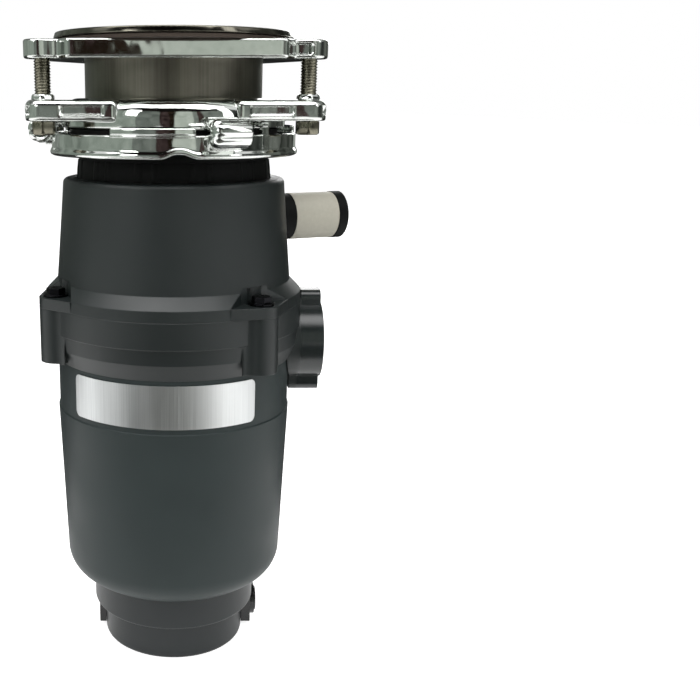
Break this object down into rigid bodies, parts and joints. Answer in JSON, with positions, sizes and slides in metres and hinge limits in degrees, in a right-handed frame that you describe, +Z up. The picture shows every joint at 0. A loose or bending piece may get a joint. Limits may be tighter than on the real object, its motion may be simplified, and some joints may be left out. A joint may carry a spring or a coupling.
{
  "type": "food waste disposer",
  "caption": "Slim under-sink food waste disposer with a chromed screw mount, sink flange, side dishwasher inlet, side discharge and stepped base",
  "frame": {"origin": "centre of the base's underside", "axes": "+Z up along the motor's axis, front (nameplate) facing -Y, discharge outlet towards +X"},
  "size_m": [0.1629, 0.1467, 0.3118],
  "materials": {
    "base_plastic": "satin moulded",
    "housing_plastic": "satin moulded",
    "container_plastic": "satin moulded",
    "shell_plastic": "satin moulded",
    "box_plastic": "gloss moulded",
    "plate": "brushed, clear lacquer",
    "chrome": "bright plated",
    "stainless": "deep drawn, polished",
    "steel": "ground",
    "zinc_screw": "black zinc",
    "fibre": "pressed fibre",
    "rubber": "moulded",
    "paper": "coated paper",
    "cast": "die cast",
    "iron": "pressed laminations",
    "magnet": "sintered ferrite",
    "copper": "enamelled copper wire",
    "brass": "stamped",
    "carbon": "pressed carbon",
    "card": "phenolic board",
    "foam": "closed-cell foam",
    "red_button": "moulded"
  },
  "bodies": {
    "disposer": {"base_cap": "base_plastic", "end_cap": "base_plastic", "motor_shell": "shell_plastic", "nameplate": "plate", "drain_housing": "housing_plastic", "hood": "housing_plastic", "grind_container": "container_plastic", "wiring_box": "box_plastic", "wiring_cover": "box_plastic", "cable_gland": "box_plastic", "overload_protector": "box_plastic", "rectifier_board": "card", "brush_card": "card", "brush_holders": "brass", "carbon_brushes": "carbon", "brush_springs": "steel", "lower_end_frame": "cast", "upper_end_frame": "cast", "flux_ring": "iron", "field_magnets": "magnet", "lower_bearing": "steel", "upper_bearing": "steel", "through_bolts": "steel", "frame_screws": "steel", "base_screws": "zinc_screw", "housing_screws": "zinc_screw", "wiring_cover_screws": "zinc_screw", "ground_screw": "brass", "housing_seal": "rubber", "shaft_seal": "rubber", "shredder_ring": "steel", "sound_foam": "foam", "dishwasher_inlet": "container_plastic", "inlet_plug": "container_plastic", "inlet_label": "paper", "mounting_cushion": "rubber", "splash_guard": "rubber", "sink_flange": "stainless", "fibre_gasket": "fibre", "snap_ring": "steel", "mounting_ring": "chrome", "mounting_screws": "chrome", "backup_ring": "chrome", "reset_spring": "steel"},
    "rotor": {"motor_shaft": "steel", "armature_core": "iron", "armature_windings": "copper", "commutator": "copper", "thrust_washer": "steel", "turntable": "steel", "turntable_nut": "steel", "water_slinger": "rubber", "lug_rivets": "steel"},
    "swivel_lug_1": {"swivel_lug_1": "steel"},
    "swivel_lug_2": {"swivel_lug_2": "steel"},
    "lock_ring": {"lock_ring": "chrome"},
    "reset_button": {"reset_button": "red_button"}
  },
  "joints": [
    {"name": "rotor_spin", "type": "hinge", "parent": "disposer", "child": "rotor", "pos_m": [0, 0, 0.1], "axis": [0, 0, 1], "continuous": true},
    {"name": "swivel_lug_1_swing", "type": "hinge", "parent": "rotor", "child": "swivel_lug_1", "pos_m": [0.029, 0, 0.1925], "axis": [0, 0, 1], "continuous": true},
    {"name": "swivel_lug_2_swing", "type": "hinge", "parent": "rotor", "child": "swivel_lug_2", "pos_m": [-0.029, 0, 0.1925], "axis": [0, 0, 1], "continuous": true},
    {"name": "lock_ring_turn", "type": "hinge", "parent": "disposer", "child": "lock_ring", "pos_m": [0, 0, 0.26], "axis": [0, 0, 1], "range_deg": [-40, 0]},
    {"name": "reset_press", "type": "slide", "parent": "disposer", "child": "reset_button", "axis": [0, 0, 1], "range_m": [0, 0.002], "stiffness_N_per_m": 300, "springref_m": -0.002, "deforming": ["reset_spring"]}
  ]
}
